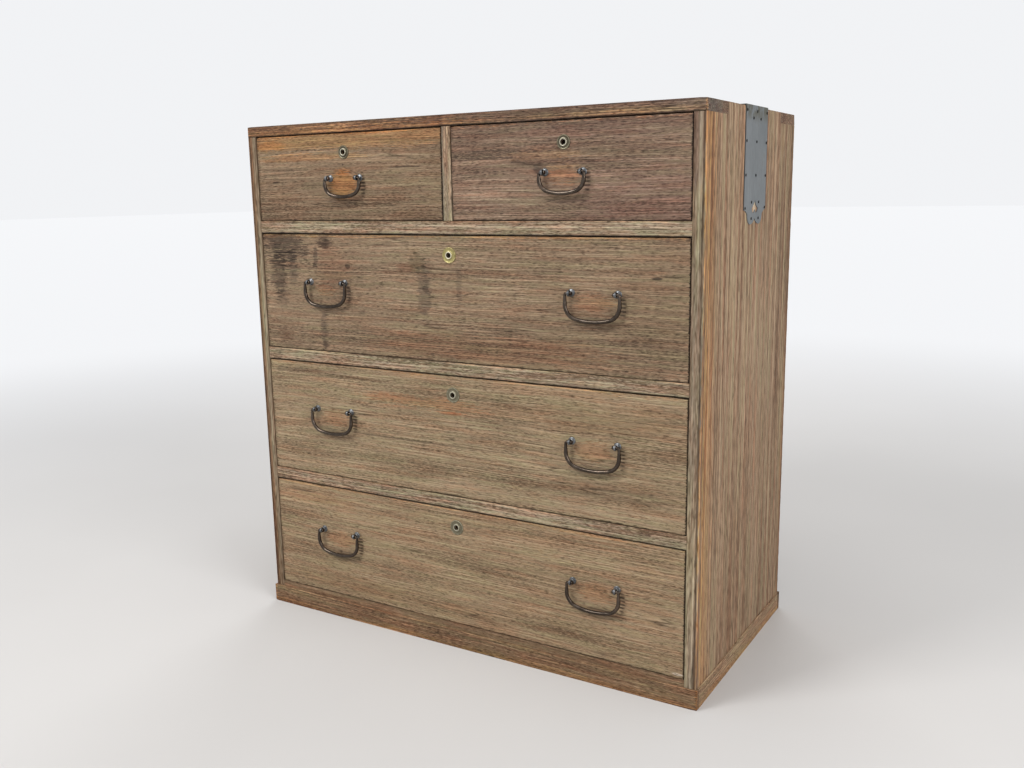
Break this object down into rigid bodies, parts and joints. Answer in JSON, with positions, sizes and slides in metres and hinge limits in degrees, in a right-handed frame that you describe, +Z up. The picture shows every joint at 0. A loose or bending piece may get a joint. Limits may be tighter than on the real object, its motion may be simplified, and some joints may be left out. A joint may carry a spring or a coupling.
{
  "type": "tansu chest",
  "caption": "Joined wooden chest of drawers on a low base, with iron bail handles, brass keyholes, drawer locks and a pierced iron strap over each side.",
  "frame": {"origin": "on the floor, under the middle of the chest with its handles", "axes": "+Z up, the drawers open towards -Y, +X is to the right seen from the front"},
  "size_m": [0.906, 0.4638, 0.9423],
  "materials": {
    "carcass_wood": "weathered, brushed grain, unvarnished",
    "rail_wood": "weathered, greenish tan",
    "front_wood": "weathered, brushed horizontal grain",
    "shelf_wood": "planed, dull",
    "back_wood": "rough, dull",
    "base_wood": "weathered, darker",
    "drawer_wood": "planed, dull",
    "handle_iron": "forged, rubbed dark",
    "strap_iron": "flat blue-grey",
    "nail_iron": "forged, black",
    "lock_iron": "dull, oiled",
    "escutcheon_brass": "tarnished"
  },
  "bodies": {
    "carcass": {"top_board": "carcass_wood", "left_side_board": "carcass_wood", "right_side_board": "carcass_wood", "bottom_board": "shelf_wood", "back_boards": "back_wood", "upper_rail": "rail_wood", "middle_rail": "rail_wood", "lower_rail": "rail_wood", "upper_dust_board": "shelf_wood", "middle_dust_board": "shelf_wood", "lower_dust_board": "shelf_wood", "centre_partition": "rail_wood", "base_long_rails": "base_wood", "base_side_rails": "base_wood", "left_strap": "strap_iron", "right_strap": "strap_iron", "strap_nails": "nail_iron"},
    "left_small_drawer": {"left_small_drawer_front": "front_wood", "left_small_drawer_box": "drawer_wood", "left_small_drawer_bottom": "drawer_wood", "left_small_drawer_escutcheon": "escutcheon_brass", "left_small_drawer_lock_case": "lock_iron", "left_small_drawer_handle_posts": "handle_iron"},
    "left_small_drawer_lock_bolt": {"left_small_drawer_lock_bolt": "lock_iron"},
    "left_small_drawer_bail": {"left_small_drawer_bail": "handle_iron"},
    "right_small_drawer": {"right_small_drawer_front": "front_wood", "right_small_drawer_box": "drawer_wood", "right_small_drawer_bottom": "drawer_wood", "right_small_drawer_escutcheon": "escutcheon_brass", "right_small_drawer_lock_case": "lock_iron", "right_small_drawer_handle_posts": "handle_iron"},
    "right_small_drawer_lock_bolt": {"right_small_drawer_lock_bolt": "lock_iron"},
    "right_small_drawer_bail": {"right_small_drawer_bail": "handle_iron"},
    "upper_drawer": {"upper_drawer_front": "front_wood", "upper_drawer_box": "drawer_wood", "upper_drawer_bottom": "drawer_wood", "upper_drawer_escutcheon": "escutcheon_brass", "upper_drawer_lock_case": "lock_iron", "upper_drawer_handle_posts": "handle_iron"},
    "upper_drawer_lock_bolt": {"upper_drawer_lock_bolt": "lock_iron"},
    "upper_drawer_left_bail": {"upper_drawer_left_bail": "handle_iron"},
    "upper_drawer_right_bail": {"upper_drawer_right_bail": "handle_iron"},
    "middle_drawer": {"middle_drawer_front": "front_wood", "middle_drawer_box": "drawer_wood", "middle_drawer_bottom": "drawer_wood", "middle_drawer_escutcheon": "escutcheon_brass", "middle_drawer_lock_case": "lock_iron", "middle_drawer_handle_posts": "handle_iron"},
    "middle_drawer_lock_bolt": {"middle_drawer_lock_bolt": "lock_iron"},
    "middle_drawer_left_bail": {"middle_drawer_left_bail": "handle_iron"},
    "middle_drawer_right_bail": {"middle_drawer_right_bail": "handle_iron"},
    "lower_drawer": {"lower_drawer_front": "front_wood", "lower_drawer_box": "drawer_wood", "lower_drawer_bottom": "drawer_wood", "lower_drawer_escutcheon": "escutcheon_brass", "lower_drawer_lock_case": "lock_iron", "lower_drawer_handle_posts": "handle_iron"},
    "lower_drawer_lock_bolt": {"lower_drawer_lock_bolt": "lock_iron"},
    "lower_drawer_left_bail": {"lower_drawer_left_bail": "handle_iron"},
    "lower_drawer_right_bail": {"lower_drawer_right_bail": "handle_iron"}
  },
  "joints": [
    {"name": "left_small_drawer_slide", "type": "slide", "parent": "carcass", "child": "left_small_drawer", "axis": [0, -1, 0], "range_m": [0, 0.33]},
    {"name": "left_small_drawer_lock_bolt_throw", "type": "slide", "parent": "left_small_drawer", "child": "left_small_drawer_lock_bolt", "axis": [0, 0, 1], "range_m": [0, 0.01]},
    {"name": "left_small_drawer_bail_swing", "type": "hinge", "parent": "left_small_drawer", "child": "left_small_drawer_bail", "pos_m": [-0.2195, -0.22695, 0.842], "axis": [-1, 0, 0], "range_deg": [-9, 186]},
    {"name": "right_small_drawer_slide", "type": "slide", "parent": "carcass", "child": "right_small_drawer", "axis": [0, -1, 0], "range_m": [0, 0.33]},
    {"name": "right_small_drawer_lock_bolt_throw", "type": "slide", "parent": "right_small_drawer", "child": "right_small_drawer_lock_bolt", "axis": [0, 0, 1], "range_m": [0, 0.01]},
    {"name": "right_small_drawer_bail_swing", "type": "hinge", "parent": "right_small_drawer", "child": "right_small_drawer_bail", "pos_m": [0.2195, -0.22695, 0.842], "axis": [-1, 0, 0], "range_deg": [-9, 186]},
    {"name": "upper_drawer_slide", "type": "slide", "parent": "carcass", "child": "upper_drawer", "axis": [0, -1, 0], "range_m": [0, 0.33]},
    {"name": "upper_drawer_lock_bolt_throw", "type": "slide", "parent": "upper_drawer", "child": "upper_drawer_lock_bolt", "axis": [0, 0, 1], "range_m": [0, 0.01]},
    {"name": "upper_drawer_left_bail_swing", "type": "hinge", "parent": "upper_drawer", "child": "upper_drawer_left_bail", "pos_m": [-0.272, -0.22695, 0.65567], "axis": [-1, 0, 0], "range_deg": [-7, 186]},
    {"name": "upper_drawer_right_bail_swing", "type": "hinge", "parent": "upper_drawer", "child": "upper_drawer_right_bail", "pos_m": [0.272, -0.22695, 0.65567], "axis": [-1, 0, 0], "range_deg": [-7, 186]},
    {"name": "middle_drawer_slide", "type": "slide", "parent": "carcass", "child": "middle_drawer", "axis": [0, -1, 0], "range_m": [0, 0.33]},
    {"name": "middle_drawer_lock_bolt_throw", "type": "slide", "parent": "middle_drawer", "child": "middle_drawer_lock_bolt", "axis": [0, 0, 1], "range_m": [0, 0.01]},
    {"name": "middle_drawer_left_bail_swing", "type": "hinge", "parent": "middle_drawer", "child": "middle_drawer_left_bail", "pos_m": [-0.272, -0.22695, 0.41533], "axis": [-1, 0, 0], "range_deg": [-7, 186]},
    {"name": "middle_drawer_right_bail_swing", "type": "hinge", "parent": "middle_drawer", "child": "middle_drawer_right_bail", "pos_m": [0.272, -0.22695, 0.41533], "axis": [-1, 0, 0], "range_deg": [-7, 186]},
    {"name": "lower_drawer_slide", "type": "slide", "parent": "carcass", "child": "lower_drawer", "axis": [0, -1, 0], "range_m": [0, 0.33]},
    {"name": "lower_drawer_lock_bolt_throw", "type": "slide", "parent": "lower_drawer", "child": "lower_drawer_lock_bolt", "axis": [0, 0, 1], "range_m": [0, 0.01]},
    {"name": "lower_drawer_left_bail_swing", "type": "hinge", "parent": "lower_drawer", "child": "lower_drawer_left_bail", "pos_m": [-0.272, -0.22695, 0.175], "axis": [-1, 0, 0], "range_deg": [-7, 186]},
    {"name": "lower_drawer_right_bail_swing", "type": "hinge", "parent": "lower_drawer", "child": "lower_drawer_right_bail", "pos_m": [0.272, -0.22695, 0.175], "axis": [-1, 0, 0], "range_deg": [-7, 186]}
  ]
}
